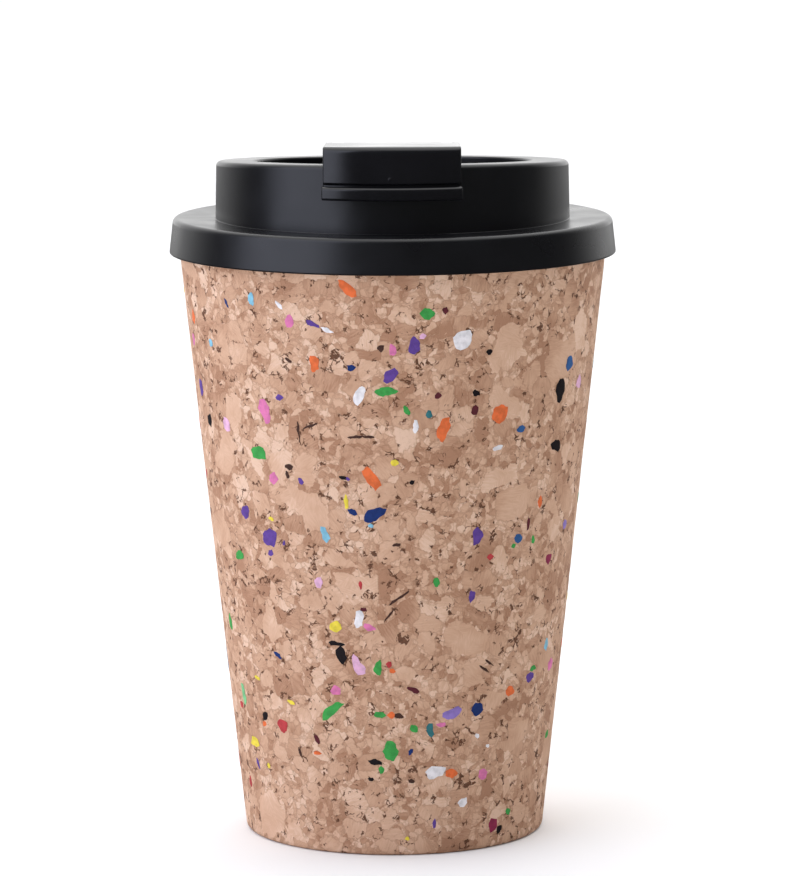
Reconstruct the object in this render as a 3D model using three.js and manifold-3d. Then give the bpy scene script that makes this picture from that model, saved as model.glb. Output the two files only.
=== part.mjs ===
// Cork travel cup with a push-on lid and a flip tab over the drinking slot.
//
// Millimetres, +Z up. The origin is the centre of the base, on the surface that the cup stands on.
// The drinking side, with the tab's finger lip, is the front and faces -Y.
//
// The top of the lid's collar isn't level: it leans, high at the front and low at the back. What
// follows that lean is drawn on a level plane first, and leanWithRim() then tilts it.

import * as THREE from 'three';
import { mergeVertices } from 'three/addons/utils/BufferGeometryUtils.js';
import Module from 'manifold-3d';

const wasm = await Module();
wasm.setup();

// Driving dimensions

const OVERALL_HEIGHT = 150;
const CLEARANCE = 0.3;            // between pieces that touch on the real cup
const ROUND_SEGMENTS = 64;

const CUP_TAPER = 0.1077;         // radius gained for each millimetre of height
const CORK_FOOT_RADIUS = 31.9;    // the cork's outside, continued to the base plane
const CORK_WALL = 4.5;
const CORK_TOP = 127.9;
const CORK_FOOT_ROUNDING = 1;
const BASE_DISC_RECESS = 1;
const BASE_DISC_TOP = 6.3;

const LINER_WALL = 1.5;
const LINER_FLOOR = 1.8;
const LINER_RIM_RADIUS = 45.4;
const LINER_RIM_THICKNESS = 1.4;

const RIM_SLOPE = 0.059;          // fall of the collar's top for each millimetre towards the back
const RIM_HEIGHT = 143.8;         // the collar's top, above the centre of the cup
const LEAN_STARTS_AT = 136;       // what is drawn above this height follows the rim

const LID_RADIUS = 47.5;
const LID_SHOULDER_RADIUS = 46.65;
const LID_SKIRT_BOTTOM = 124.3;
const LID_DECK = 131.7;           // where the deck meets the collar
const LID_DECK_EDGE = 131.9;      // the deck's outer edge, a little higher
const LID_UNDERSIDE = 129.9;
const LID_PLUG_BOTTOM = 114;
const LID_PLUG_RADIUS = 37.45;
const COLLAR_FOOT_RADIUS = 37.65;
const COLLAR_TOP_RADIUS = 37.4;
const COLLAR_INNER_RADIUS = 35.7;
const RECESS_RADIUS = 29.5;
const RECESS_WALL = 1.7;
const RECESS_FLOOR = 134;
const LID_WALL = 1.8;

const SEAL_BOTTOM = 117.6;
const SEAL_TOP = 121.4;
const SEAL_INNER_RADIUS = 36.8;

const SLOT_INNER_RADIUS = 31.6;
const SLOT_OUTER_RADIUS = 35.5;
const SLOT_HALF_ANGLE = THREE.MathUtils.degToRad(15);
const VENT_RADIUS = 0.9;
const VENT_Y = 20;

const HINGE_Y = -4;
const HINGE_Z = 142.4;
const PIN_RADIUS = 1.2;
const PIN_HALF_LENGTH = 13.9;
const PIN_HOLE_RADIUS = PIN_RADIUS + CLEARANCE;
const EAR_INNER_X = 10.6;
const EAR_THICKNESS = 1.7;
const EAR_HALF_WIDTH = 2.4;

const TAB_HALF_WIDTH = 14.2;
const TAB_SIDE_WALL = 1.5;
const TAB_PLATE = 2;
const TAB_FRONT_RADIUS = 40.2;    // the front panel is concentric with the collar
const TAB_PANEL_INNER_RADIUS = 38.1;
const TAB_LIP_RADIUS = 41.4;
const TAB_LIP_HALF_WIDTH = 14.5;
const TAB_LIP_BOTTOM = 138.9;
const TAB_LIP_TOP = 141.7;
const TAB_EDGE_CHAMFER = 0.7;
const TAB_OVER_RIM = 0.4;         // clearance between the tab's side walls and the collar's top
const EAR_SLOT_LENGTH = 3.2;      // how far in front of the pin the ears' slots reach

const STOPPER_INNER_RADIUS = 31.2;
const STOPPER_OUTER_RADIUS = 36.4;
const STOPPER_HALF_ANGLE = THREE.MathUtils.degToRad(16.5);
const STOPPER_PLUG_DEPTH = 1.85;  // below the collar's top

// Worked out from those

const corkOuter = (z) => CORK_FOOT_RADIUS + CUP_TAPER * z;
const corkBore = (z) => corkOuter(z) - CORK_WALL;
const linerOuter = (z) => corkBore(z) - CLEARANCE;
const linerInner = (z) => linerOuter(z) - LINER_WALL;
const LINER_BOTTOM = BASE_DISC_TOP + CLEARANCE;
const LINER_RIM_BOTTOM = CORK_TOP + CLEARANCE;
const LINER_TOP = LINER_RIM_BOTTOM + LINER_RIM_THICKNESS;

const tabTop = (y) => OVERALL_HEIGHT - RIM_SLOPE * (y + TAB_FRONT_RADIUS);
const TAB_TOP_LEVEL = tabTop(0);
const TAB_REAR_RADIUS = (tabTop(HINGE_Y) - HINGE_Z) * Math.cos(Math.atan(RIM_SLOPE));

// Geometry helpers

// Points of an arc in a profile or outline, from one angle to another, both in degrees.
function arc(centreX, centreY, radius, from, to, steps = 4) {
  const points = [];
  for (let i = 0; i <= steps; i += 1) {
    const angle = THREE.MathUtils.degToRad(from + ((to - from) * i) / steps);
    points.push([centreX + radius * Math.cos(angle), centreY + radius * Math.sin(angle)]);
  }
  return points;
}

// A solid of revolution about Z. The first vertex of each ring is at the front.
function turned(profile, closed = false) {
  const points = profile.map(([radius, z]) => new THREE.Vector2(radius, z));
  if (closed) {
    points.push(points[0].clone());
  }
  return new THREE.LatheGeometry(points, ROUND_SEGMENTS).rotateX(Math.PI / 2);
}

// An outline in the YZ plane, drawn out along X from -halfWidth to +halfWidth.
function acrossX(outline, halfWidth) {
  const shape = new THREE.Shape(outline.map(([y, z]) => new THREE.Vector2(y, z)));
  const geometry = new THREE.ExtrudeGeometry(shape, { depth: 2 * halfWidth, bevelEnabled: false });
  geometry.translate(0, 0, -halfWidth);
  const turn = new THREE.Matrix4().makeBasis(
    new THREE.Vector3(0, 1, 0),
    new THREE.Vector3(0, 0, 1),
    new THREE.Vector3(1, 0, 0),
  );
  return geometry.applyMatrix4(turn);
}

// A curved bar round the cup's axis, centred on the front.
function frontArcBar(innerRadius, outerRadius, halfAngle, bottom, top) {
  const front = -Math.PI / 2;
  const shape = new THREE.Shape();
  shape.absarc(0, 0, outerRadius, front - halfAngle, front + halfAngle, false);
  shape.absarc(0, 0, innerRadius, front + halfAngle, front - halfAngle, true);
  const geometry = new THREE.ExtrudeGeometry(shape, {
    depth: top - bottom,
    bevelEnabled: false,
    curveSegments: 8,
  });
  return geometry.translate(0, 0, bottom);
}

function boxBetween(low, high) {
  const geometry = new THREE.BoxGeometry(high[0] - low[0], high[1] - low[1], high[2] - low[2]);
  return geometry.translate((low[0] + high[0]) / 2, (low[1] + high[1]) / 2, (low[2] + high[2]) / 2);
}

// A round bar along X through the hinge's axis.
function hingeBar(radius, halfLength) {
  const geometry = new THREE.CylinderGeometry(radius, radius, 2 * halfLength, 20);
  return geometry.rotateZ(Math.PI / 2).translate(0, HINGE_Y, HINGE_Z);
}

function leanWithRim(geometry) {
  const position = geometry.attributes.position;
  for (let i = 0; i < position.count; i += 1) {
    if (position.getZ(i) > LEAN_STARTS_AT) {
      position.setZ(i, position.getZ(i) - RIM_SLOPE * position.getY(i));
    }
  }
  return geometry;
}

// Turns a closed geometry into a solid, with its faces pointing outwards.
function solid(geometry) {
  geometry.deleteAttribute('normal');
  geometry.deleteAttribute('uv');
  const merged = mergeVertices(geometry, 1e-3);
  const vertices = merged.attributes.position.array;
  const index = merged.index.array;
  const corner = (i) => new THREE.Vector3().fromArray(vertices, 3 * i);
  const triangles = [];
  let volume = 0;
  for (let i = 0; i < index.length; i += 3) {
    const [a, b, c] = [index[i], index[i + 1], index[i + 2]];
    if (a !== b && b !== c && c !== a) {
      triangles.push([a, b, c]);
      volume += corner(a).dot(corner(b).cross(corner(c)));
    }
  }
  if (volume < 0) {
    triangles.forEach((triangle) => triangle.reverse());
  }
  const mesh = new wasm.Mesh({
    numProp: 3,
    vertProperties: Float32Array.from(vertices),
    triVerts: Uint32Array.from(triangles.flat()),
  });
  return new wasm.Manifold(mesh);
}

function piece(name, body, material) {
  const mesh = body.getMesh();
  const geometry = new THREE.BufferGeometry();
  geometry.setAttribute('position', new THREE.BufferAttribute(mesh.vertProperties, 3));
  geometry.setIndex(new THREE.BufferAttribute(mesh.triVerts, 1));
  geometry.computeVertexNormals();
  const part = new THREE.Mesh(geometry, material);
  part.name = name;
  return part;
}

// Materials

const cork = (color) => new THREE.MeshStandardMaterial({ color, roughness: 0.85, metalness: 0 });
const corkMaterial = cork(0xb08a66);
const corkBaseMaterial = cork(0xa5805d);
const lidPlastic = new THREE.MeshStandardMaterial({ color: 0x141417, roughness: 0.38, metalness: 0 });
const tabPlastic = new THREE.MeshStandardMaterial({ color: 0x121215, roughness: 0.36, metalness: 0 });
const linerPlastic = new THREE.MeshStandardMaterial({ color: 0x1b1b1e, roughness: 0.45, metalness: 0 });
const sealSilicone = new THREE.MeshStandardMaterial({ color: 0x8f9194, roughness: 0.6, metalness: 0 });
const stopperSilicone = new THREE.MeshStandardMaterial({ color: 0x232326, roughness: 0.65, metalness: 0 });
const pinSteel = new THREE.MeshStandardMaterial({ color: 0xb9bcc0, roughness: 0.3, metalness: 1 });

// The cup: a tapered cork sleeve, a cork disc glued into its foot, and a plastic liner.

function corkSleeve() {
  const rounding = CORK_FOOT_ROUNDING;
  const edge = 0.4;
  return solid(turned([
    [corkBore(0), 0],
    ...arc(corkOuter(rounding) - rounding, rounding, rounding, -90, 0),
    ...arc(corkOuter(CORK_TOP) - edge, CORK_TOP - edge, edge, 0, 90, 2),
    [corkBore(CORK_TOP), CORK_TOP],
  ], true));
}

function corkBase() {
  return solid(turned([
    [0, BASE_DISC_RECESS],
    [corkBore(BASE_DISC_RECESS) - CLEARANCE, BASE_DISC_RECESS],
    [corkBore(BASE_DISC_TOP) - CLEARANCE, BASE_DISC_TOP],
    [0, BASE_DISC_TOP],
  ]));
}

function innerCup() {
  const outerCorner = 3;
  const innerCorner = 2.5;
  const lipRounding = 0.6;
  const floorTop = LINER_BOTTOM + LINER_FLOOR;
  const outerTurn = LINER_BOTTOM + outerCorner;
  const innerTurn = floorTop + innerCorner;
  return solid(turned([
    [0, LINER_BOTTOM],
    ...arc(linerOuter(outerTurn) - outerCorner, outerTurn, outerCorner, -90, 0),
    [linerOuter(LINER_RIM_BOTTOM), LINER_RIM_BOTTOM],
    [LINER_RIM_RADIUS, LINER_RIM_BOTTOM],
    [LINER_RIM_RADIUS, LINER_TOP],
    ...arc(linerInner(LINER_TOP) + lipRounding, LINER_TOP - lipRounding, lipRounding, 90, 180, 2),
    ...arc(linerInner(innerTurn) - innerCorner, innerTurn, innerCorner, 0, -90),
    [0, floorTop],
  ]));
}

// The lid: a deck with a skirt over the cork, a hollow collar, a plug into the cup's mouth, and a
// recess with two ears that hold the tab's pin.

function lidShell() {
  const recessCorner = 1;
  const recessEdge = 0.5;
  const collarEdge = 1.1;
  const collarFoot = 0.8;
  const shoulder = 1.2;
  const skirtInnerRadius = 46.1;
  const channelTop = RIM_HEIGHT - LID_WALL;
  const channelInnerRadius = RECESS_RADIUS + RECESS_WALL;
  const grooveRadius = SEAL_INNER_RADIUS - CLEARANCE;
  const plugTaper = 0.45;
  return solid(leanWithRim(turned([
    [0, RECESS_FLOOR],
    ...arc(RECESS_RADIUS - recessCorner, RECESS_FLOOR + recessCorner, recessCorner, -90, 0, 3),
    ...arc(RECESS_RADIUS + recessEdge, RIM_HEIGHT - recessEdge, recessEdge, 180, 90, 2),
    ...arc(COLLAR_TOP_RADIUS - collarEdge, RIM_HEIGHT - collarEdge, collarEdge, 90, 0),
    ...arc(COLLAR_FOOT_RADIUS + collarFoot, LID_DECK + collarFoot, collarFoot, 180, 270, 2),
    ...arc(LID_SHOULDER_RADIUS - shoulder, LID_DECK_EDGE - shoulder, shoulder, 90, 0),
    [LID_RADIUS, LID_SKIRT_BOTTOM + 0.2],
    [LID_RADIUS - 0.2, LID_SKIRT_BOTTOM],
    [skirtInnerRadius, LID_SKIRT_BOTTOM],
    [skirtInnerRadius - 0.2, LID_UNDERSIDE],
    [LID_PLUG_RADIUS, LID_UNDERSIDE],
    [LID_PLUG_RADIUS, SEAL_TOP + CLEARANCE],
    [grooveRadius, SEAL_TOP + CLEARANCE],
    [grooveRadius, SEAL_BOTTOM - CLEARANCE],
    [LID_PLUG_RADIUS - 0.1, SEAL_BOTTOM - CLEARANCE],
    [LID_PLUG_RADIUS - plugTaper, LID_PLUG_BOTTOM],
    [COLLAR_INNER_RADIUS - 0.2, LID_PLUG_BOTTOM],
    [COLLAR_INNER_RADIUS, channelTop],
    [channelInnerRadius, channelTop],
    [channelInnerRadius, RECESS_FLOOR - LID_WALL],
    [0, RECESS_FLOOR - LID_WALL],
  ])));
}

function hingeEars() {
  const ear = solid(acrossX([
    [HINGE_Y - EAR_HALF_WIDTH, RECESS_FLOOR - LID_WALL / 2],
    [HINGE_Y + EAR_HALF_WIDTH, RECESS_FLOOR - LID_WALL / 2],
    ...arc(HINGE_Y, HINGE_Z, EAR_HALF_WIDTH, 0, 180, 8),
  ], EAR_THICKNESS / 2));
  const offset = EAR_INNER_X + EAR_THICKNESS / 2;
  return ear.translate(offset, 0, 0).add(ear.translate(-offset, 0, 0));
}

function lidBody() {
  const slotBottom = RIM_HEIGHT - LID_WALL - 1;
  const slot = leanWithRim(
    frontArcBar(SLOT_INNER_RADIUS, SLOT_OUTER_RADIUS, SLOT_HALF_ANGLE, slotBottom, RIM_HEIGHT + 1),
  );
  const vent = new THREE.CylinderGeometry(VENT_RADIUS, VENT_RADIUS, 3 * LID_WALL, 12);
  vent.rotateX(Math.PI / 2).translate(0, VENT_Y, RECESS_FLOOR);
  return lidShell()
    .add(hingeEars())
    .subtract(solid(hingeBar(PIN_HOLE_RADIUS, PIN_HALF_LENGTH)))
    .subtract(solid(slot))
    .subtract(solid(vent));
}

// A silicone ring with two sealing lips, in the groove round the lid's plug.
function lidSeal() {
  const valleyRadius = 37.55;
  const lowerLipRadius = 37.95;
  const upperLipRadius = 38.2;
  const middle = (SEAL_BOTTOM + SEAL_TOP) / 2;
  return solid(turned([
    [SEAL_INNER_RADIUS, SEAL_BOTTOM],
    [valleyRadius, SEAL_BOTTOM],
    [lowerLipRadius, SEAL_BOTTOM + 0.7],
    [valleyRadius, middle - 0.3],
    [valleyRadius, middle + 0.3],
    [upperLipRadius, SEAL_TOP - 0.7],
    [valleyRadius + 0.2, SEAL_TOP],
    [SEAL_INNER_RADIUS, SEAL_TOP],
  ], true));
}

// The flip tab: a hollow cap from the pin to the front, whose front panel hooks over the collar and
// ends in a finger lip. Its rear is round about the pin, and slotted for the ears.

function tabBlank() {
  const underLip = TAB_LIP_BOTTOM;
  const farFront = -2 * TAB_FRONT_RADIUS;
  const sideView = [
    [farFront, underLip],
    [HINGE_Y, HINGE_Z - TAB_REAR_RADIUS],
    ...arc(HINGE_Y, HINGE_Z, TAB_REAR_RADIUS, -75, 90 - THREE.MathUtils.radToDeg(RIM_SLOPE), 14),
    [farFront, tabTop(farFront)],
  ];
  const chamferStart = TAB_TOP_LEVEL - TAB_EDGE_CHAMFER;
  const roundFront = leanWithRim(turned([
    [0, TAB_LIP_BOTTOM - 10],
    [TAB_FRONT_RADIUS, TAB_LIP_BOTTOM - 10],
    [TAB_FRONT_RADIUS, chamferStart],
    [TAB_FRONT_RADIUS - 4 * TAB_EDGE_CHAMFER, chamferStart + 4 * TAB_EDGE_CHAMFER],
    [0, chamferStart + 4 * TAB_EDGE_CHAMFER],
  ]));
  return solid(acrossX(sideView, TAB_HALF_WIDTH)).intersect(solid(roundFront));
}

function tabHollow() {
  const halfWidth = TAB_HALF_WIDTH - TAB_SIDE_WALL;
  const rearInside = TAB_REAR_RADIUS - TAB_PLATE;
  const farFront = -2 * TAB_FRONT_RADIUS;
  const below = TAB_LIP_BOTTOM - 20;
  const sideView = [
    [farFront, below],
    [HINGE_Y + rearInside, below],
    ...arc(HINGE_Y, HINGE_Z, rearInside, 0, 90 - THREE.MathUtils.radToDeg(RIM_SLOPE), 8),
    [farFront, tabTop(farFront) - TAB_PLATE],
  ];
  const insidePanel = turned([
    [0, below - 1],
    [TAB_PANEL_INNER_RADIUS, below - 1],
    [TAB_PANEL_INNER_RADIUS, OVERALL_HEIGHT + 10],
    [0, OVERALL_HEIGHT + 10],
  ]);
  return solid(acrossX(sideView, halfWidth)).intersect(solid(insidePanel));
}

function flipTab() {
  const collarClearance = leanWithRim(turned([
    [RECESS_RADIUS - 2, LID_DECK],
    [TAB_PANEL_INNER_RADIUS, LID_DECK],
    [TAB_PANEL_INNER_RADIUS, RIM_HEIGHT + TAB_OVER_RIM],
    [RECESS_RADIUS - 2, RIM_HEIGHT + TAB_OVER_RIM],
  ], true));
  const lipRing = solid(turned([
    [TAB_PANEL_INNER_RADIUS + CLEARANCE, TAB_LIP_BOTTOM],
    [TAB_LIP_RADIUS - 0.5, TAB_LIP_BOTTOM],
    [TAB_LIP_RADIUS, TAB_LIP_BOTTOM + 0.5],
    [TAB_LIP_RADIUS, TAB_LIP_TOP - 0.5],
    [TAB_LIP_RADIUS - 0.5, TAB_LIP_TOP],
    [TAB_PANEL_INNER_RADIUS + CLEARANCE, TAB_LIP_TOP],
  ], true));
  const lipStretch = boxBetween(
    [-TAB_LIP_HALF_WIDTH, -2 * TAB_FRONT_RADIUS, TAB_LIP_BOTTOM - 1],
    [TAB_LIP_HALF_WIDTH, 0, TAB_LIP_TOP + 1],
  );
  const slotInner = EAR_INNER_X - 0.4;
  const slotOuter = TAB_HALF_WIDTH - TAB_SIDE_WALL;
  const earSlot = solid(boxBetween(
    [slotInner, HINGE_Y - EAR_SLOT_LENGTH, RECESS_FLOOR],
    [slotOuter, HINGE_Y + 2 * TAB_REAR_RADIUS, OVERALL_HEIGHT],
  ));
  return tabBlank()
    .subtract(tabHollow())
    .subtract(solid(collarClearance))
    .add(lipRing.intersect(solid(lipStretch)))
    .subtract(earSlot)
    .subtract(earSlot.translate(-slotInner - slotOuter, 0, 0))
    .subtract(solid(hingeBar(PIN_HOLE_RADIUS, TAB_HALF_WIDTH + 1)));
}

// A silicone pad under the tab, with a curved plug that closes the drinking slot.
function tabStopper() {
  const pad = leanWithRim(frontArcBar(
    STOPPER_INNER_RADIUS,
    STOPPER_OUTER_RADIUS,
    STOPPER_HALF_ANGLE,
    RIM_HEIGHT + CLEARANCE,
    TAB_TOP_LEVEL - TAB_PLATE - CLEARANCE,
  ));
  const plug = leanWithRim(frontArcBar(
    SLOT_INNER_RADIUS + CLEARANCE,
    SLOT_OUTER_RADIUS - CLEARANCE,
    SLOT_HALF_ANGLE - CLEARANCE / SLOT_INNER_RADIUS,
    RIM_HEIGHT - STOPPER_PLUG_DEPTH,
    RIM_HEIGHT + 2 * CLEARANCE,
  ));
  return solid(pad).add(solid(plug));
}

const group = new THREE.Group();
group.add(
  piece('cork_sleeve', corkSleeve(), corkMaterial),
  piece('cork_base', corkBase(), corkBaseMaterial),
  piece('inner_cup', innerCup(), linerPlastic),
  piece('lid_body', lidBody(), lidPlastic),
  piece('lid_seal', lidSeal(), sealSilicone),
  piece('flip_tab', flipTab(), tabPlastic),
  piece('tab_stopper', tabStopper(), stopperSilicone),
  piece('hinge_pin', solid(hingeBar(PIN_RADIUS, PIN_HALF_LENGTH)), pinSteel),
);

export default group;
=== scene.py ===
import math
import random

import bmesh
import bpy
from mathutils import Matrix, Vector, noise


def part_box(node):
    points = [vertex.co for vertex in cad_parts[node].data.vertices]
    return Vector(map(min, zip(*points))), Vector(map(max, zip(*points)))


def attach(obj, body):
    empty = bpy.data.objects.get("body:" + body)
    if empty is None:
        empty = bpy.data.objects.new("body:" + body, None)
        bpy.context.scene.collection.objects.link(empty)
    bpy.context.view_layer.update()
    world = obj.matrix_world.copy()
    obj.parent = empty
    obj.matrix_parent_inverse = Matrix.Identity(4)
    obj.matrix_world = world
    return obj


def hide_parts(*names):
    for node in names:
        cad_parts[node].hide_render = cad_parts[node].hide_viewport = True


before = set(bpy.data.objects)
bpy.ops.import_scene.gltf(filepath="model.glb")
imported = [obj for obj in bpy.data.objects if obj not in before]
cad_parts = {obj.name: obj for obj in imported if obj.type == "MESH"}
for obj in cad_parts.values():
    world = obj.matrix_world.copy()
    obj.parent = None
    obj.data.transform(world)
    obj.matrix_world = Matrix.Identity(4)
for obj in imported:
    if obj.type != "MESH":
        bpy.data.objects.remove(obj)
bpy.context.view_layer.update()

# Everything is in metres, in the CAD frame: the origin is the centre of the base, +Z is up, and the
# drinking side faces -Y. Sizes below are in millimetres and go through MM.

MM = 0.001
FINE = 256               # segments round the cup
ARC_STEPS = 6            # segments in a quarter-round edge

# ---------------------------------------------------------------- sizes, from the frame where it has them

lid_low, lid_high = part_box("lid_body")
tab_low, tab_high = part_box("flip_tab")
_, sleeve_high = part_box("cork_sleeve")
liner_low, liner_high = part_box("inner_cup")
disc_low, disc_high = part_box("cork_base")
seal_low, seal_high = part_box("lid_seal")
pin_low, pin_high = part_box("hinge_pin")

LID_RADIUS = lid_high.x / MM
PLUG_BOTTOM = lid_low.z / MM
CORK_TOP = sleeve_high.z / MM
LINER_BOTTOM = liner_low.z / MM
LINER_TOP = liner_high.z / MM
LINER_RIM_RADIUS = liner_high.x / MM
DISC_BOTTOM, DISC_TOP = disc_low.z / MM, disc_high.z / MM
SEAL_BOTTOM, SEAL_TOP = seal_low.z / MM, seal_high.z / MM
PIN_RADIUS = (pin_high.z - pin_low.z) / 2 / MM
PIN_HALF_LENGTH = pin_high.x / MM
HINGE_Y = (pin_low.y + pin_high.y) / 2 / MM
HINGE_Z = (pin_low.z + pin_high.z) / 2 / MM

CUP_TAPER = 0.1077       # radius gained for each millimetre of height
CORK_FOOT_RADIUS = 31.9
CORK_WALL = 4.5
GAP = 0.3
LINER_WALL = 1.5
LINER_FLOOR = 1.8

RIM_SLOPE = 0.059        # the collar's top falls this much for each millimetre towards the back
RIM_SLOPE_DEGREES = math.degrees(math.atan(RIM_SLOPE))
RIM_HEIGHT = 143.8       # the collar's top, above the centre
LEAN_STARTS_AT = 136
LID_SKIRT_BOTTOM = 124.3
LID_DECK = 131.7
LID_DECK_EDGE = 131.9
LID_UNDERSIDE = 129.9
PLUG_RADIUS = 37.45
SEAL_INNER_RADIUS = 36.8
RECESS_RADIUS = 29.5
RECESS_FLOOR = 134
LID_WALL = 1.8

TAB_HALF_WIDTH = 14.2
TAB_SIDE_WALL = 1.5
TAB_PLATE = 2.0
TAB_FRONT_RADIUS = 40.2
TAB_PANEL_INNER_RADIUS = 38.1
TAB_TOP = 150.0
TAB_LIP_RADIUS = -tab_low.y / MM
TAB_LIP_HALF_WIDTH = tab_high.x / MM
TAB_LIP_BOTTOM, TAB_LIP_TOP = 138.9, 141.7
TAB_WRAP_STARTS_AT = -36   # in front of this the tab curves round with the collar
TAB_FIRST_CURVED_ROW = -36.6   # the first row of points across its top that does so
GATE_MARK_X, GATE_MARK_Z = -0.4, 143.3
BELOW_TAB = 120          # where the tools that cut the tab start, clear below it
EAR_INNER_X, EAR_OUTER_X, EAR_HALF_WIDTH = 10.6, 12.3, 2.4


def cork_outer(z):
    return CORK_FOOT_RADIUS + CUP_TAPER * z


def tab_top(y):
    return TAB_TOP - RIM_SLOPE * (y + TAB_FRONT_RADIUS)


TAB_REAR_RADIUS = (tab_top(HINGE_Y) - HINGE_Z) * math.cos(math.atan(RIM_SLOPE))

# ---------------------------------------------------------------- camera

LENS = 204.9             # a long lens, in millimetres on a 36 mm sensor
CAMERA_PLACE = (2.5, -1056.3, 238)
LOOK_DOWN_DEGREES = 8.29
ROLL_DEGREES = -0.17

camera_data = bpy.data.cameras.new("camera")
camera_data.sensor_width = 36
camera_data.lens = LENS
camera_data.clip_start, camera_data.clip_end = 0.05, 100
camera = bpy.data.objects.new("camera", camera_data)
camera.location = Vector(CAMERA_PLACE) * MM
look_down = Matrix.Rotation(math.radians(90 - LOOK_DOWN_DEGREES), 4, "X")
roll = Matrix.Rotation(math.radians(ROLL_DEGREES), 4, "Z")
camera.rotation_euler = (look_down @ roll).to_euler()
bpy.context.scene.collection.objects.link(camera)
bpy.context.scene.camera = camera

# ---------------------------------------------------------------- outlines


def rounded(corners, closed=False, steps=ARC_STEPS):
    """A polyline through (x, y, fillet radius) corners, with each fillet drawn as an arc."""
    points = []
    count = len(corners)
    for i, (x, y, radius) in enumerate(corners):
        corner = Vector((x, y))
        if radius == 0 or (not closed and i in (0, count - 1)):
            points.append((x, y))
            continue
        before = Vector(corners[i - 1][:2]) - corner
        after = Vector(corners[(i + 1) % count][:2]) - corner
        before.normalize()
        after.normalize()
        half = before.angle(after) / 2
        centre = corner + (before + after).normalized() * (radius / math.sin(half))
        start = corner + before * (radius / math.tan(half)) - centre
        end = corner + after * (radius / math.tan(half)) - centre
        sweep = start.angle_signed(end)
        for k in range(steps + 1):
            turn = Matrix.Rotation(-sweep * k / steps, 2)
            points.append(tuple(centre + turn @ start))
    return points


def arc_points(centre, radius, start, end, steps):
    """Points round a centre, between two angles in degrees."""
    angles = [math.radians(start + (end - start) * k / steps) for k in range(steps + 1)]
    return [(centre[0] + radius * math.cos(a), centre[1] + radius * math.sin(a)) for a in angles]


def shrunk(outline, distance):
    """A closed outline moved inwards by a distance. The outline runs anticlockwise."""
    if distance == 0:
        return list(outline)
    moved = []
    count = len(outline)
    for i in range(count):
        here = Vector(outline[i])
        along = (here - Vector(outline[i - 1])).normalized()
        onward = (Vector(outline[(i + 1) % count]) - here).normalized()
        inwards = (Vector((-along.y, along.x)) + Vector((-onward.y, onward.x))).normalized()
        reach = distance / max(inwards.dot(Vector((-along.y, along.x))), 0.4)
        moved.append(tuple(here + inwards * reach))
    return moved


# ---------------------------------------------------------------- meshes


SHARP_DEGREES = 38       # edges that turn by more than this stay sharp in shading


def finish_mesh(bm, name, sharp_above=SHARP_DEGREES):
    """Makes an object from a bmesh drawn in millimetres, smooth but for its sharp edges."""
    bmesh.ops.remove_doubles(bm, verts=bm.verts, dist=1e-4)
    bmesh.ops.recalc_face_normals(bm, faces=bm.faces)
    for face in bm.faces:
        face.smooth = True
    mesh = bpy.data.meshes.new(name)
    bm.to_mesh(mesh)
    bm.free()
    mesh.transform(Matrix.Scale(MM, 4))
    mesh.set_sharp_from_angle(angle=math.radians(sharp_above))
    piece = bpy.data.objects.new(name, mesh)
    bpy.context.scene.collection.objects.link(piece)
    return piece


def lean(point):
    """Tilts what is drawn above the start of the lean, so that it follows the collar's top."""
    x, y, z = point
    return (x, y, z - RIM_SLOPE * y) if z > LEAN_STARTS_AT else (x, y, z)


def turned(name, profile, closed=False, place=None, segments=FINE):
    """A solid turned about Z from a (radius, height) profile."""
    bm = bmesh.new()
    rings = []
    for radius, z in profile:
        if radius < 1e-6:
            rings.append([bm.verts.new((0, 0, z))])
            continue
        ring = []
        for k in range(segments):
            angle = 2 * math.pi * k / segments
            point = (radius * math.sin(angle), -radius * math.cos(angle), z)
            ring.append(bm.verts.new(place(point) if place else point))
        rings.append(ring)
    pairs = list(zip(rings, rings[1:]))
    if closed:
        pairs.append((rings[-1], rings[0]))
    for low, high in pairs:
        for k in range(segments):
            corners = [low[k % len(low)], low[(k + 1) % len(low)]]
            corners += [high[(k + 1) % len(high)], high[k % len(high)]]
            unique = list(dict.fromkeys(corners))
            if len(unique) > 2:
                bm.faces.new(unique)
    return finish_mesh(bm, name)


def slab(name, outline, levels, point_at):
    """A solid from a stack of outlines. Each level is (position, inset), and point_at places a point."""
    bm = bmesh.new()
    rings = []
    for position, inset in levels:
        ring = [bm.verts.new(point_at(a, b, position)) for a, b in shrunk(outline, inset)]
        rings.append(ring)
    count = len(outline)
    for low, high in zip(rings, rings[1:]):
        for k in range(count):
            bm.faces.new((low[k], low[(k + 1) % count], high[(k + 1) % count], high[k]))
    bm.faces.new(rings[0])
    bm.faces.new(rings[-1])
    return finish_mesh(bm, name)


def edge_levels(low, high, radius, between=1, steps=4):
    """Levels from low to high whose first and last stretches are quarter rounds."""
    rise = []
    for k in range(steps + 1):
        angle = math.pi / 2 * k / steps
        rise.append((low + radius * (1 - math.cos(angle)), radius * (1 - math.sin(angle))))
    flat = high - low - 2 * radius
    middle = [(low + radius + flat * k / between, 0) for k in range(1, between)]
    return rise + middle + [(low + high - position, inset) for position, inset in reversed(rise)]


def across_x(y, z, x):
    return (x, y, z)


def along_z(x, y, z):
    return lean((x, y, z))


def front_bar(inner, outer, half_angle, corner):
    """The plan of a curved bar round the cup's axis, centred on the front, with round corners."""
    ends = [(outer, -half_angle, half_angle), (inner, half_angle, -half_angle)]
    corners = []
    for radius, start, end in ends:
        for k in range(11):
            angle = math.radians(-90 + start + (end - start) * k / 10)
            fillet = corner if k in (0, 10) else 0
            corners.append((radius * math.cos(angle), radius * math.sin(angle), fillet))
    return rounded(corners, closed=True, steps=4)


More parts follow.
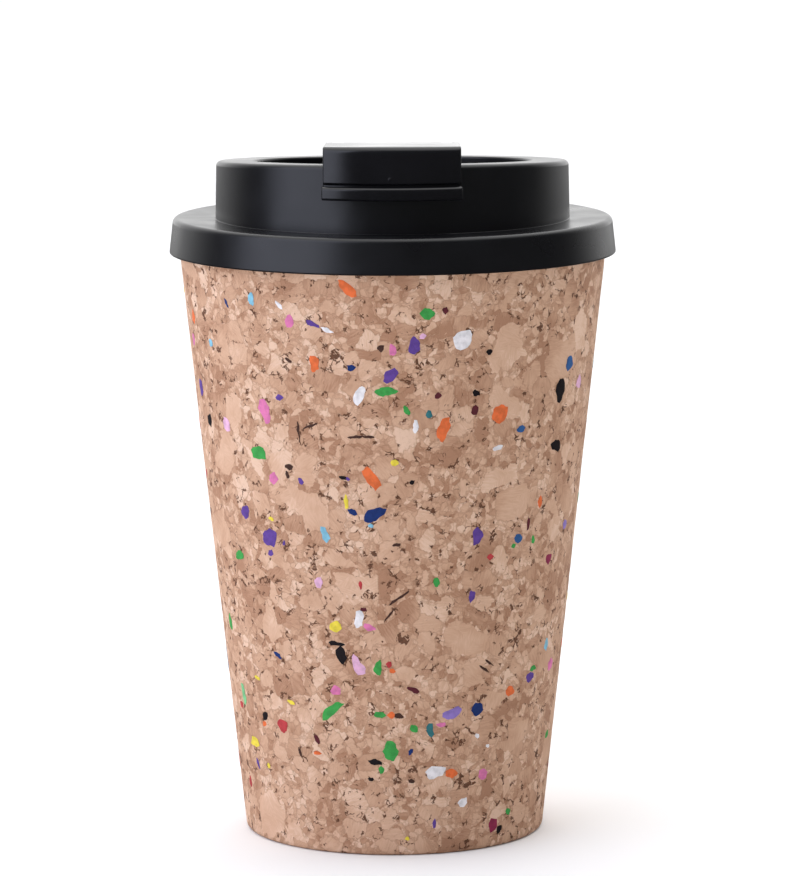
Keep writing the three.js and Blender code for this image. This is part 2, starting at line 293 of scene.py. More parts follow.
def combine(piece, other, operation):
    """Joins or cuts two pieces, and leaves the result in the first."""
    modifier = piece.modifiers.new("combine", "BOOLEAN")
    modifier.operation, modifier.object, modifier.solver = operation, other, "EXACT"
    result = piece.evaluated_get(bpy.context.evaluated_depsgraph_get())
    mesh = bpy.data.meshes.new_from_object(result)
    piece.modifiers.clear()
    piece.data = mesh
    mesh.set_sharp_from_angle(angle=math.radians(SHARP_DEGREES))
    bpy.data.objects.remove(other)
    return piece


def weighted(piece):
    """Keeps large flat faces flat in shading beside their rounded edges."""
    modifier = piece.modifiers.new("weighted_normal", "WEIGHTED_NORMAL")
    modifier.keep_sharp = True
    return piece


# ---------------------------------------------------------------- materials


def linear(red, green, blue):
    """A colour given as it looks on a screen, from 0 to 255, in the renderer's linear units."""
    parts = [value / 255 for value in (red, green, blue)]
    parts = [p / 12.92 if p <= 0.04045 else ((p + 0.055) / 1.055) ** 2.4 for p in parts]
    return (*parts, 1)


class Nodes:
    """A material and short ways to add nodes to it."""

    def __init__(self, name):
        self.material = bpy.data.materials.new(name)
        self.material.use_nodes = True
        self.tree = self.material.node_tree
        self.surface = self.tree.nodes["Principled BSDF"]

    def put(self, socket, value):
        if isinstance(value, bpy.types.NodeSocket):
            self.tree.links.new(value, socket)
        else:
            socket.default_value = value

    def node(self, kind, inputs=None, **settings):
        made = self.tree.nodes.new("ShaderNode" + kind)
        for key, value in settings.items():
            setattr(made, key, value)
        for key, value in (inputs or {}).items():
            self.put(made.inputs[key], value)
        return made

    def math(self, operation, first, second=0.0, clamp=False):
        made = self.node("Math", {0: first, 1: second}, operation=operation, use_clamp=clamp)
        return made.outputs[0]

    def vector(self, operation, first, second):
        return self.node("VectorMath", {0: first, 1: second}, operation=operation).outputs[0]

    def mix(self, share, first, second, blend="MIX"):
        made = self.node("Mix", data_type="RGBA", blend_type=blend)
        self.put(made.inputs[0], share)
        self.put(made.inputs[6], first)
        self.put(made.inputs[7], second)
        return made.outputs[2]

    def band(self, value, start, end, low=0.0, high=1.0):
        """Maps a value from start..end to low..high, smoothly, and holds it outside."""
        inputs = {"Value": value, "From Min": start, "From Max": end, "To Min": low, "To Max": high}
        return self.node("MapRange", inputs, interpolation_type="SMOOTHSTEP").outputs[0]

    def ramp(self, value, stops):
        made = self.node("ValToRGB", {0: value})
        elements = made.color_ramp.elements
        while len(elements) < len(stops):
            elements.new(0.5)
        for element, (position, colour) in zip(elements, stops):
            element.position, element.color = position, colour
        return made.outputs[0]

    def noise(self, where, scale, detail=2.0, roughness=0.5):
        inputs = {"Vector": where, "Scale": scale, "Detail": detail, "Roughness": roughness}
        return self.node("TexNoise", inputs)

    def cells(self, where, scale, feature="F1"):
        return self.node("TexVoronoi", {"Vector": where, "Scale": scale}, feature=feature)

    def soft_cells(self, where, scale, softness):
        """Cells whose random colours blend into each other at the edges."""
        inputs = {"Vector": where, "Scale": scale, "Smoothness": softness}
        return self.node("TexVoronoi", inputs, feature="SMOOTH_F1")

    def millimetres(self):
        """Position in the CAD frame, in millimetres."""
        place = self.node("TexCoord").outputs["Object"]
        return self.vector("MULTIPLY", place, (1 / MM,) * 3)

    def bump(self, height, distance, strength=1.0):
        made = self.node("Bump", {"Height": height, "Distance": distance * MM, "Strength": strength})
        self.put(self.surface.inputs["Normal"], made.outputs[0])


# Cells to a millimetre, for each size of granule in the cork, and for its pits.
PIECE_SCALE, CHIP_SCALE, CRUMB_SCALE, PIT_SCALE = 0.115, 0.26, 0.7, 0.42


def cork_material():
    n = Nodes("pressed_cork")
    place = n.millimetres()
    coarse = n.vector("SUBTRACT", n.noise(place, 0.3).outputs["Color"], (0.5,) * 3)
    ragged = n.vector("SUBTRACT", n.noise(place, 1.5, 3).outputs["Color"], (0.5,) * 3)
    bent = n.vector("ADD", place, n.vector("MULTIPLY", coarse, (3.0,) * 3))
    bent = n.vector("ADD", bent, n.vector("MULTIPLY", ragged, (1.1,) * 3))

    # Three sizes of granule: a few large plain pieces, chips, and crumbs where a chip is broken up.
    pieces = n.cells(bent, PIECE_SCALE)
    piece_edge = n.cells(bent, PIECE_SCALE, "DISTANCE_TO_EDGE").outputs["Distance"]
    chips = n.cells(bent, CHIP_SCALE)
    chip_edge = n.cells(bent, CHIP_SCALE, "DISTANCE_TO_EDGE").outputs["Distance"]
    crumb_edge = n.cells(bent, CRUMB_SCALE, "DISTANCE_TO_EDGE").outputs["Distance"]
    piece_random = n.node("SeparateColor", {0: pieces.outputs["Color"]}).outputs
    chip_random = n.node("SeparateColor", {0: chips.outputs["Color"]}).outputs
    large = n.math("GREATER_THAN", piece_random[0], 0.84)
    large = n.math("MULTIPLY", large, n.math("GREATER_THAN", piece_edge, 0.09))
    broken = n.math("SUBTRACT", 1.0, large)
    whole = n.math("GREATER_THAN", chip_random[0], 0.62)
    soft_chips = n.soft_cells(bent, CHIP_SCALE, 0.12).outputs["Color"]
    chip_tone = n.node("SeparateColor", {0: soft_chips}).outputs[1]
    soft_crumbs = n.soft_cells(bent, CRUMB_SCALE, 0.25).outputs["Color"]
    crumb_tone = n.node("SeparateColor", {0: soft_crumbs}).outputs[1]
    tone = n.node("Mix", {0: whole, 2: crumb_tone, 3: chip_tone}).outputs[0]
    plain_tone = n.math("ADD", n.math("MULTIPLY", piece_random[1], 0.55), 0.35)
    tone = n.node("Mix", {0: large, 2: tone, 3: plain_tone}).outputs[0]

    # Fine grain, in a direction of its own in each chip.
    angle = n.math("MULTIPLY", chip_random[2], 2 * math.pi)
    turned_place = n.node("VectorRotate", {"Vector": place, "Axis": (0.6, 0.5, 0.62), "Angle": angle})
    stretched = n.vector("MULTIPLY", turned_place.outputs[0], (0.5, 0.5, 4.0))
    grain = n.noise(stretched, 1.0, 2).outputs["Fac"]
    mottle = n.noise(place, 0.12, 2).outputs["Fac"]
    grain_share = n.band(grain, 0.25, 0.75, -0.14, 0.14)
    tone = n.math("ADD", tone, grain_share)
    tone = n.math("ADD", tone, n.band(mottle, 0.3, 0.7, -0.24, 0.2), clamp=True)
    colour = n.ramp(tone, [
        (0.0, linear(170, 127, 100)),
        (0.25, linear(189, 148, 120)),
        (0.5, linear(201, 161, 133)),
        (0.8, linear(211, 173, 146)),
        (1.0, linear(222, 188, 163)),
    ])

    # Soft dark joints between granules, sharp dark crevices along some of them, and pits.
    joint = n.band(chip_edge, 0.0, 0.07, 0.3, 0.0)
    crumbled = n.math("SUBTRACT", 1.0, whole)
    crumb_joint = n.math("MULTIPLY", n.band(crumb_edge, 0.0, 0.16, 0.3, 0.0), crumbled)
    joints = n.math("MULTIPLY", n.math("MAXIMUM", joint, crumb_joint), broken)
    colour = n.mix(joints, colour, linear(150, 108, 80))
    patch = n.noise(place, 0.55, 2).outputs["Fac"]
    gap = n.noise(place, 0.22, 3).outputs["Fac"]
    width = n.math("ADD", n.band(patch, 0.56, 0.7, 0.0, 0.05), n.band(gap, 0.66, 0.74, 0.0, 0.08))
    nearest_edge = n.math("MINIMUM", chip_edge, n.math("MULTIPLY", crumb_edge, 0.6))
    crevice = n.band(n.math("SUBTRACT", nearest_edge, width), -0.02, 0.008, 1.0, 0.0)
    pits = n.cells(bent, PIT_SCALE)
    pit_random = n.node("SeparateColor", {0: pits.outputs["Color"]}).outputs[0]
    pit_size = n.band(pit_random, 0.55, 1.0, 0.0, 0.17)
    pit = n.band(n.math("SUBTRACT", pits.outputs["Distance"], pit_size), -0.05, 0.0, 1.0, 0.0)
    dark = n.math("MULTIPLY", n.math("MAXIMUM", crevice, pit), broken)
    depth_tone = n.mix(n.noise(place, 2.0).outputs["Fac"], linear(46, 24, 16), linear(124, 80, 56))
    colour = n.mix(n.math("MULTIPLY", dark, 0.94), colour, depth_tone)
    n.put(n.surface.inputs["Base Color"], colour)

    rough = n.band(grain, 0.2, 0.8, 0.7, 0.88)
    n.put(n.surface.inputs["Roughness"], rough)
    n.surface.inputs["Specular IOR Level"].default_value = 0.25
    lift = n.math("MULTIPLY", chip_random[1], 0.25)
    height = n.math("SUBTRACT", lift, dark)
    height = n.math("SUBTRACT", height, n.math("MULTIPLY", joints, 0.35))
    height = n.math("ADD", height, n.math("MULTIPLY", grain, 0.3))
    n.bump(height, 0.14, 0.8)
    return n.material


def fleck_material(name, colour):
    n = Nodes("fleck_" + name)
    place = n.millimetres()
    cloud = n.noise(place, 0.8, 3).outputs["Fac"]
    foam = n.noise(place, 5.0, 2).outputs["Fac"]
    darker = tuple(c * 0.72 for c in colour[:3]) + (1,)
    shade = n.mix(n.band(cloud, 0.3, 0.75), colour, darker)
    n.put(n.surface.inputs["Base Color"], shade)
    n.put(n.surface.inputs["Roughness"], n.band(foam, 0.2, 0.8, 0.62, 0.8))
    n.surface.inputs["Specular IOR Level"].default_value = 0.3
    n.bump(foam, 0.06, 0.6)
    return n.material


def moulded_plastic(name, colour, roughness, grain=0.01):
    """Satin moulded plastic: faint flow marks in its gloss and a fine spark-eroded grain."""
    n = Nodes(name)
    place = n.millimetres()
    flow = n.noise(place, 0.09, 3).outputs["Fac"]
    fine = n.noise(place, 6.0, 2).outputs["Fac"]
    lighter = tuple(c * 1.5 for c in colour[:3]) + (1,)
    n.put(n.surface.inputs["Base Color"], n.mix(n.band(flow, 0.3, 0.8), colour, lighter))
    n.put(n.surface.inputs["Roughness"], n.band(flow, 0.3, 0.7, roughness - 0.03, roughness + 0.04))
    n.surface.inputs["IOR"].default_value = 1.49
    n.bump(fine, grain, 0.5)
    return n.material


def silicone(name, colour):
    n = Nodes(name)
    place = n.millimetres()
    dust = n.noise(place, 3.0, 4).outputs["Fac"]
    paler = tuple(min(1, c * 1.3 + 0.01) for c in colour[:3]) + (1,)
    n.put(n.surface.inputs["Base Color"], n.mix(n.band(dust, 0.45, 0.8), colour, paler))
    n.put(n.surface.inputs["Roughness"], n.band(dust, 0.2, 0.8, 0.5, 0.68))
    n.surface.inputs["Specular IOR Level"].default_value = 0.35
    n.bump(dust, 0.03, 0.5)
    return n.material


def turned_steel():
    n = Nodes("turned_steel")
    place = n.vector("MULTIPLY", n.millimetres(), (9.0, 0.6, 0.6))
    rings = n.noise(place, 1.0, 3).outputs["Fac"]
    n.put(n.surface.inputs["Base Color"], n.mix(rings, linear(168, 170, 174), linear(205, 207, 210)))
    n.put(n.surface.inputs["Roughness"], n.band(rings, 0.2, 0.8, 0.22, 0.4))
    n.surface.inputs["Metallic"].default_value = 1.0
    n.bump(rings, 0.02, 0.6)
    return n.material


def place_piece(piece, body, node, material):
    piece.data.materials.clear()
    piece.data.materials.append(material)
    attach(piece, body)
    if node:
        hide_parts(node)
    return piece


# ---------------------------------------------------------------- the cup


def pressed_relief(piece, depth):
    """Lets each granule of the cork's outside stand a little higher or lower than its neighbours."""
    for vertex in piece.data.vertices:
        outwards = Vector((vertex.co.x, vertex.co.y, 0))
        if outwards.length / MM < cork_outer(vertex.co.z / MM) - 1.2:
            continue
        granule = noise.cell(vertex.co / MM * 0.45) * 0.6
        swell = noise.noise(vertex.co / MM * 0.22) * 0.4
        vertex.co -= outwards.normalized() * (0.5 + 0.5 * granule + swell) * depth * MM
    return piece


def cork_sleeve():
    bore = CORK_FOOT_RADIUS - CORK_WALL
    corners = [
        (bore, 0, 0),
        (CORK_FOOT_RADIUS, 0, 1.1),
        (cork_outer(CORK_TOP), CORK_TOP, 0.4),
        (bore + CUP_TAPER * CORK_TOP, CORK_TOP, 0),
    ]
    outline = rounded(corners + corners[:1])[:-1]
    profile = []
    for here, there in zip(outline, outline[1:] + outline[:1]):
        rows = 150 if there[1] - here[1] > CORK_TOP / 2 else 1
        for k in range(rows):
            share = k / rows
            profile.append(tuple(a + (b - a) * share for a, b in zip(here, there)))
    piece = turned("cork_sleeve_pressed", profile, closed=True, segments=320)
    return pressed_relief(piece, 0.06)


def cork_base():
    def bore(z):
        return cork_outer(z) - CORK_WALL - GAP

    return turned("cork_base_pressed", rounded([
        (0, DISC_BOTTOM, 0),
        (bore(DISC_BOTTOM), DISC_BOTTOM, 0.5),
        (bore(DISC_TOP), DISC_TOP, 0.3),
        (0, DISC_TOP, 0),
    ]))


def inner_cup():
    def outer(z):
        return cork_outer(z) - CORK_WALL - GAP

    def inner(z):
        return outer(z) - LINER_WALL

    floor_top = LINER_BOTTOM + LINER_FLOOR
    rim_bottom = CORK_TOP + GAP
    return turned("inner_cup_moulded", rounded([
        (0, LINER_BOTTOM, 0),
        (outer(LINER_BOTTOM), LINER_BOTTOM, 3),
        (outer(rim_bottom), rim_bottom, 0.2),
        (LINER_RIM_RADIUS, rim_bottom, 0.4),
        (LINER_RIM_RADIUS, LINER_TOP, 0.5),
        (inner(LINER_TOP), LINER_TOP, 0.6),
        (inner(floor_top), floor_top, 2.5),
        (0, floor_top, 0),
    ]))


# ---------------------------------------------------------------- the flecks
# Coloured foam rubber in the pressed cork, placed one by one on the front. Each is (colour, millimetres
# right of the centre line, height above the table, its own width and height, tilt in degrees). The
# thin umber ones are slits between granules.

FLECK_COLOURS = {
    "orange": linear(232, 112, 58),
    "green": linear(62, 162, 74),
    "lime": linear(128, 200, 138),
    "pink": linear(222, 122, 172),
    "blush": linear(228, 178, 208),
    "purple": linear(98, 66, 150),
    "lilac": linear(146, 122, 196),
    "navy": linear(16, 48, 112),
    "blue": linear(44, 92, 150),
    "sky": linear(134, 194, 218),
    "white": linear(238, 234, 236),
    "yellow": linear(236, 214, 70),
    "black": linear(30, 20, 24),
    "maroon": linear(98, 34, 44),
    "red": linear(192, 62, 66),
    "crimson": linear(150, 42, 78),
    "teal": linear(52, 118, 124),
    "umber": linear(76, 48, 38),
}

FRONT_FLECKS = [
    ("orange", -9.3, 120, 4.8, 2.5, -48),
    ("sky", -29.3, 116.8, 1.9, 2.8, 10),
    ("navy", -34.5, 115.2, 2.8, 0.7, -60),
    ("white", -23.4, 116, 2.4, 0.9, -40),
    ("pink", -21.2, 112.9, 1.9, 3.2, 0),
    ("purple", -16.5, 112.4, 3.3, 1.3, -25),
    ("white", -13.4, 111.3, 2.7, 1.0, -22),
    ("orange", -42, 110.7, 2.5, 3, 0),
    ("pink", -42.2, 105.5, 2, 3, 0),
    ("sky", -38.1, 106, 1.5, 2, 0),
    ("umber", -21.5, 104.5, 1.7, 0.8, -30),
    ("orange", -16.1, 104.2, 2.6, 4.4, 15),
    ("navy", -8.5, 103.5, 1.8, 1.5, 10),
    ("umber", -2.4, 107.6, 1.6, 1.5, 30),
    ("pink", 0, 107.4, 1.7, 2.6, 5),
    ("purple", -0.4, 102, 2.3, 4.2, -30),
    ("green", -1.6, 98.6, 5.6, 2, 5),
    ("white", -6.8, 97.8, 2.3, 4.9, -15),
    ("pink", -26.7, 93.4, 2.9, 5.6, 8),
    ("purple", -23.5, 96.4, 2, 1.4, 20),
    ("purple", -40.6, 95.7, 3, 4.6, 0),
    ("black", -38.7, 88.9, 3.2, 3, 0),
    ("blush", -34.9, 89, 3, 3.4, 10),
    ("green", -28, 84, 5.2, 3.2, 10),
    ("green", 7, 114.8, 3.5, 3, 15),
    ("maroon", 10.9, 115.3, 1.5, 1.5, 0),
    ("white", 14.4, 109.1, 5.2, 4.6, 35),
    ("purple", 4.5, 107.9, 2.5, 4.2, 12),
    ("blush", 6.2, 110, 1.6, 1.4, 0),
    ("black", 19.9, 106.1, 1.6, 1.5, 0),
    ("blue", 37, 101.5, 3, 3.2, 0),
    ("black", 35, 96.1, 3.8, 6.6, 0),
    ("blush", 39.1, 97, 2.6, 3.2, 0),
    ("black", 17.2, 97.7, 1.8, 1.8, 40),
    ("maroon", 9.3, 97.5, 1.5, 1.4, 0),
    ("maroon", 16.8, 94.1, 1.7, 2.4, -15),
    ("orange", 22.3, 93.1, 3.6, 5.2, -20),
    ("orange", 10.4, 90.6, 3.2, 5.8, -12),
    ("green", 2.9, 94.7, 1.1, 2.3, 20),
    ("teal", 7.4, 93.5, 1.5, 1.9, 0),
    ("white", 4.7, 91, 1.1, 3, 0),
    ("blue", 26.5, 89.2, 2.3, 1.9, 0),
    ("black", 34.2, 84.4, 4.2, 3.6, 0),
    ("white", 21.6, 85.7, 2.9, 1.2, 10),
    ("pink", -24.8, 78.9, 2.7, 3.4, 0),
    ("umber", -21.6, 81.8, 2.3, 1.3, 0),
    ("umber", -21.9, 80, 0.8, 1.8, 15),
    ("purple", -19.1, 79, 1.3, 1.6, 20),
    ("orange", -4.5, 80.2, 2.9, 5.3, 32),
    ("black", -10.3, 80.2, 2.6, 0.8, -10),
    ("purple", -9.4, 80, 1.1, 0.8, -20),
    ("yellow", -9.7, 75.1, 0.9, 3.3, 0),
    ("navy", -8.5, 73, 2.2, 1.5, -20),
    ("navy", -4.1, 72.5, 5.8, 2.7, 38),
    ("sky", -4.7, 70.2, 1.4, 1.1, 0),
    ("sky", -14.2, 68.1, 1.9, 4.9, 22),
    ("purple", -30.9, 70.8, 3.2, 3.6, 0),
    ("yellow", -25.4, 70.2, 1.5, 0.9, 0),
    ("purple", -25.8, 66.1, 4.4, 3.8, 15),
    ("purple", -25.6, 62.9, 2.3, 1.8, 30),
    ("purple", -22.8, 65.3, 0.8, 1.2, 0),
    ("green", -32.4, 60.9, 3.6, 2.1, 0),
    ("blush", -15.5, 57.5, 2.3, 3, 10),
    ("umber", 0.6, 66.1, 2.4, 0.7, 8),
    ("red", -6.8, 57.5, 0.8, 2, 0),
    ("white", -7.2, 50, 2.2, 3.9, -10),
    ("maroon", -6.2, 52.2, 1.5, 1.1, 0),
    ("pink", -5, 48.3, 2.9, 1.8, -15),
    ("yellow", -12.2, 48.2, 2.8, 2.5, 20),
    ("green", -34.7, 45, 2.4, 4.2, 0),
    ("yellow", 0.4, 83.6, 1.7, 1.5, 0),
    ("black", 3.9, 79.4, 1.5, 1.1, 0),
    ("purple", 17.6, 67.2, 2.8, 4.3, -15),
    ("blue", 26.1, 65.8, 2.4, 1.9, 0),
    ("green", 25.1, 64.3, 1.5, 1.2, 0),
    ("green", 29.3, 64.9, 1.3, 2.1, 0),
    ("orange", 30.7, 72.8, 1.4, 2.5, 0),
    ("maroon", 28.2, 68.7, 1, 3, 0),
    ("red", 20.2, 62.5, 1.6, 1.5, 0),
    ("crimson", 32.7, 60, 2.6, 2.5, 0),
    ("lilac", 36.3, 66.4, 2.5, 2, 0),
    ("green", 8.9, 57.7, 1.6, 2.4, 10),
    ("purple", 16.3, 54.2, 1.8, 2.6, 0),
    ("sky", 32.3, 41.1, 1.7, 3.5, 0),
    ("black", -12, 44.6, 3.6, 1.2, -5),
    ("black", -10.9, 42.3, 2.2, 4.2, 8),
    ("blush", -7.6, 40.2, 2.5, 5.4, 28),
    ("green", -3.3, 39.7, 1.7, 3.6, -8),
    ("red", -1, 40.4, 1.2, 1.6, 0),
    ("orange", -0.2, 39, 1.3, 1.3, 0),
    ("pink", -12.2, 34.3, 2.8, 2.6, 0),
    ("green", -13, 30, 7.3, 2.0, 38),
    ("green", -2.9, 29.5, 3, 1.7, -5),
    ("orange", -0.6, 29.4, 1.6, 1.5, 0),
    ("umber", 1.1, 29.2, 2, 1.2, -20),
    ("navy", -24.4, 40.7, 2.6, 1.2, -35),
    ("yellow", -28.9, 34.7, 2, 1, -20),
    ("yellow", -21.6, 30.8, 2.2, 1, -15),
    ("lime", -32, 30.3, 2, 4.8, 5),
    ("red", -32.4, 27.4, 2, 1.7, 0),
    ("black", -27.2, 26.7, 2.2, 1.7, 30),
    ("orange", -27.4, 24.9, 1.3, 1.5, 0),
    ("red", -23.4, 25.3, 2.9, 3.8, 25),
    ("yellow", -29.6, 20.1, 3.8, 2.6, 0),
    ("maroon", -16.1, 23.4, 1.2, 2.4, 15),
    ("orange", -16.1, 20.4, 1.8, 1.1, 0),
    ("green", -0.8, 21.8, 3.7, 5.4, 6),
    ("black", -3.9, 19.2, 3.6, 1.5, 0),
    ("green", -2.7, 17.7, 1.4, 2.2, 10),
    ("umber", -19.8, 20.1, 0.8, 2, 20),
    ("red", -30.7, 10.9, 1.4, 2.6, -10),
    ("purple", -28.9, 15.6, 0.9, 2.6, 20),
    ("yellow", -26.6, 15.9, 1.1, 1.2, 0),
    ("black", -4.8, 15.6, 1.4, 1.1, 0),
    ("umber", 3.7, 15.2, 1.8, 1, -10),
    ("pink", 33.2, 35.9, 2.7, 3, 0),
    ("green", 29.4, 36.5, 2.4, 1.5, 0),
    ("purple", 28.7, 34.9, 2.8, 2.4, 0),
    ("orange", 24.5, 32.5, 2.7, 2.8, 0),
    ("navy", 17.5, 29.8, 2.6, 3.9, 15),
    ("lilac", 12.4, 29.4, 4.4, 2.4, 12),
    ("pink", 9.9, 27, 2.2, 1.1, 0),
    ("teal", 7.6, 26.2, 2.1, 3.6, 10),
    ("green", 4.1, 26.5, 1.6, 2.2, 20),
    ("maroon", 4.3, 34.7, 3, 1.1, -25),
    ("navy", 3.5, 21.3, 0.9, 2, -25),
    ("white", 8.5, 17, 4.5, 3.6, 15),
    ("orange", 12, 16.3, 2.6, 2, -10),
    ("white", 17.5, 23.9, 1.2, 1.2, 0),
    ("white", 19.6, 21.4, 1.2, 1, 0),
    ("pink", 18.6, 15.4, 2.4, 2.5, 0),
    ("white", 14.4, 10, 2.9, 2.5, 10),
    ("crimson", 20.8, 4.4, 2.6, 3.2, -15),
    ("black", 22.2, 3.3, 1.4, 2, -10),
    ("green", 24.1, 6.6, 1.5, 1.8, 30),
    ("green", 32.6, 20.1, 2.3, 2, 0),
    ("purple", 8.5, 6.1, 0.7, 2.8, 0),
    ("umber", 0.9, 54.5, 6.8, 0.5, 36),
    ("umber", -0.7, 51.2, 5.4, 0.5, 49),
    ("umber", 19.1, 38.2, 3.2, 0.5, -35),
    ("umber", 20.2, 39.4, 3, 0.5, -35),
    ("umber", -19.5, 89.4, 0.4, 5.8, 3),
    ("umber", -16.8, 91, 4.2, 0.4, 22),
    ("umber", -7.9, 88.9, 3.2, 0.5, 4),
    ("umber", -5.1, 89, 2.8, 0.6, 0),
    ("yellow", 2.7, 3.2, 1.1, 1.0, 0),
]

# The listed heights are too low: by 0.35 mm at the foot, and by more above it, up to 1.35 mm.
HEIGHT_ERROR_AT_FOOT = 0.35
HEIGHT_ERROR_PER_MM = 0.05
HEIGHT_ERROR_MOST = 1.35

FLECK_PROUD = 0.035      # how far a fleck stands out of the cork
FLECK_DEPTH = 0.7
FLECK_SIZES = (1.2, 1.6, 2.0, 2.4, 3.0, 3.8, 4.6)
SIDE_FLECKS = 129        # round the sides and the back
SIDE_TRIES = 900
FLECK_SPACING = 1.2
BASE_FLECKS = 16
BASE_FLECK_REACH = 24


def fleck_outline(rng, width, height, tilt):
    """An irregular, sharp-cornered outline about the origin, as a shredded crumb has."""
    count = 5 if max(width, height) < 1.6 else rng.choice((5, 6, 6, 7, 8))
    start = rng.uniform(0, 2 * math.pi)
    corners = []
    for k in range(count):
        angle = start + 2 * math.pi * (k + rng.uniform(-0.28, 0.28)) / count
        reach = rng.uniform(0.74, 1.2)
        corners.append(Vector((width / 2 * reach * math.cos(angle), height / 2 * reach * math.sin(angle))))
    points = []
    for here, there in zip(corners, corners[1:] + corners[:1]):
        across = Vector((here.y - there.y, there.x - here.x))
        points.append(here)
        for share in (0.34, 0.67):
            points.append(here.lerp(there, share) + across * rng.uniform(-0.12, 0.07))
    turn = Matrix.Rotation(math.radians(tilt), 2)
    return [turn @ point for point in points]


def add_fleck(bm, outline, place_at):
    """A thin closed crumb: a crowned top, its outline, and a bottom inside the cork."""
    top = [bm.verts.new(place_at(p.x, p.y, FLECK_PROUD * 0.4)) for p in outline]
    crown = [bm.verts.new(place_at(p.x * 0.82, p.y * 0.82, FLECK_PROUD)) for p in outline]
    bottom = [bm.verts.new(place_at(p.x * 0.9, p.y * 0.9, -FLECK_DEPTH)) for p in outline]
    middle = bm.verts.new(place_at(0, 0, FLECK_PROUD))
    base = bm.verts.new(place_at(0, 0, -FLECK_DEPTH))
    count = len(outline)
    for k in range(count):
        after = (k + 1) % count
        bm.faces.new((middle, crown[k], crown[after]))
        bm.faces.new((crown[k], top[k], top[after], crown[after]))
        bm.faces.new((top[k], bottom[k], bottom[after], top[after]))
        bm.faces.new((bottom[k], base, bottom[after]))


def on_side(angle, height):
    """Places a fleck's points on the cork's side, round a centre given by angle and height."""
    def place_at(across, up, out):
        z = height + up
        radius = cork_outer(z) + out
        turn = angle + across / cork_outer(height)
        return (radius * math.sin(turn), -radius * math.cos(turn), z)
    return place_at


def under_base(x, y):
    def place_at(across, up, out):
        return (x + across, y + up, DISC_BOTTOM - out)
    return place_at


def front_flecks():
    """The listed flecks, as (colour, width, height, tilt, placing function)."""
    flecks = []
    for colour, x, listed_z, width, height, tilt in FRONT_FLECKS:
        z = listed_z + min(HEIGHT_ERROR_MOST, HEIGHT_ERROR_AT_FOOT + HEIGHT_ERROR_PER_MM * listed_z)
        angle = math.asin(max(-0.97, min(0.97, x / cork_outer(z))))
        flecks.append((colour, width, height, tilt, on_side(angle, z)))
    return flecks


def scattered_flecks():
    """Seeded random flecks on the back, the sides and the base, in the same form."""
    rng = random.Random(41)
    flecks = []
    names = [name for name in FLECK_COLOURS if name != "umber"]
    taken = []
    for _ in range(SIDE_TRIES):
        angle = math.radians(rng.uniform(80, 280))
        z = rng.uniform(4.5, 121)
        spot = Vector((angle * cork_outer(z), z))
        size = rng.choice(FLECK_SIZES)
        reach = size / 2 + FLECK_SPACING
        crowded = any((spot - other).length < reach + its_reach for other, its_reach in taken)
        if len(taken) >= SIDE_FLECKS or crowded:
            continue
        taken.append((spot, size / 2))
        width = size * rng.uniform(0.5, 1.2)
        flecks.append((rng.choice(names), width, size, rng.uniform(-60, 60), on_side(angle, z)))
    for _ in range(BASE_FLECKS):
        angle, reach = rng.uniform(0, 2 * math.pi), BASE_FLECK_REACH * math.sqrt(rng.uniform(0.02, 1))
        spot = under_base(reach * math.cos(angle), reach * math.sin(angle))
        size = rng.uniform(1.4, 3.8)
        flecks.append((rng.choice(names), size, size * rng.uniform(0.5, 1.1), rng.uniform(-90, 90), spot))
    return flecks


def build_flecks():
    rng = random.Random(17)
    meshes = {name: bmesh.new() for name in FLECK_COLOURS}
    for colour, width, height, tilt, place_at in front_flecks() + scattered_flecks():
        add_fleck(meshes[colour], fleck_outline(rng, width, height, tilt), place_at)
    for name, bm in meshes.items():
        piece = finish_mesh(bm, "flecks_" + name, sharp_above=50)
        place_piece(piece, "cup", None, fleck_material(name, FLECK_COLOURS[name]))


# ---------------------------------------------------------------- the lid


def lid_shell():
    channel_top = RIM_HEIGHT - LID_WALL
    channel_inner = RECESS_RADIUS + 1.7
    groove = SEAL_INNER_RADIUS - GAP
    return turned("lid_moulded", rounded([
        (0, RECESS_FLOOR, 0),
        (RECESS_RADIUS, RECESS_FLOOR, 1),
        (RECESS_RADIUS, RIM_HEIGHT, 0.5),
        (37.4, RIM_HEIGHT, 1.1),
        (37.65, LID_DECK, 0.1),
        (46.65, LID_DECK_EDGE, 1.2),
        (LID_RADIUS, LID_SKIRT_BOTTOM, 0.35),
        (46.1, LID_SKIRT_BOTTOM, 0.3),
        (45.9, LID_UNDERSIDE, 0.4),
        (PLUG_RADIUS, LID_UNDERSIDE, 0.4),
        (PLUG_RADIUS, SEAL_TOP + GAP, 0.15),
        (groove, SEAL_TOP + GAP, 0.15),
        (groove, SEAL_BOTTOM - GAP, 0.15),
        (PLUG_RADIUS - 0.1, SEAL_BOTTOM - GAP, 0.15),
        (PLUG_RADIUS - 0.45, PLUG_BOTTOM, 0.5),
        (35.5, PLUG_BOTTOM, 0.5),
        (35.7, channel_top, 0.6),
        (channel_inner, channel_top, 0.6),
        (channel_inner, RECESS_FLOOR - LID_WALL, 0.3),
        (0, RECESS_FLOOR - LID_WALL, 0),
    ]), place=lean)


def hinge_ear(side):
    stem = [
        (HINGE_Y - EAR_HALF_WIDTH, RECESS_FLOOR - LID_WALL / 2),
        (HINGE_Y + EAR_HALF_WIDTH, RECESS_FLOOR - LID_WALL / 2),
    ]
    outline = stem + arc_points((HINGE_Y, HINGE_Z), EAR_HALF_WIDTH, 0, 180, 24)
    ends = sorted((side * EAR_INNER_X, side * EAR_OUTER_X))
    return slab("ear", outline, edge_levels(*ends, 0.25), across_x)


def hinge_hole(radius, half_length):
    outline = arc_points((HINGE_Y, HINGE_Z), radius, 0, 360, 48)[:-1]
    return slab("hole", outline, [(-half_length, 0), (half_length, 0)], across_x)


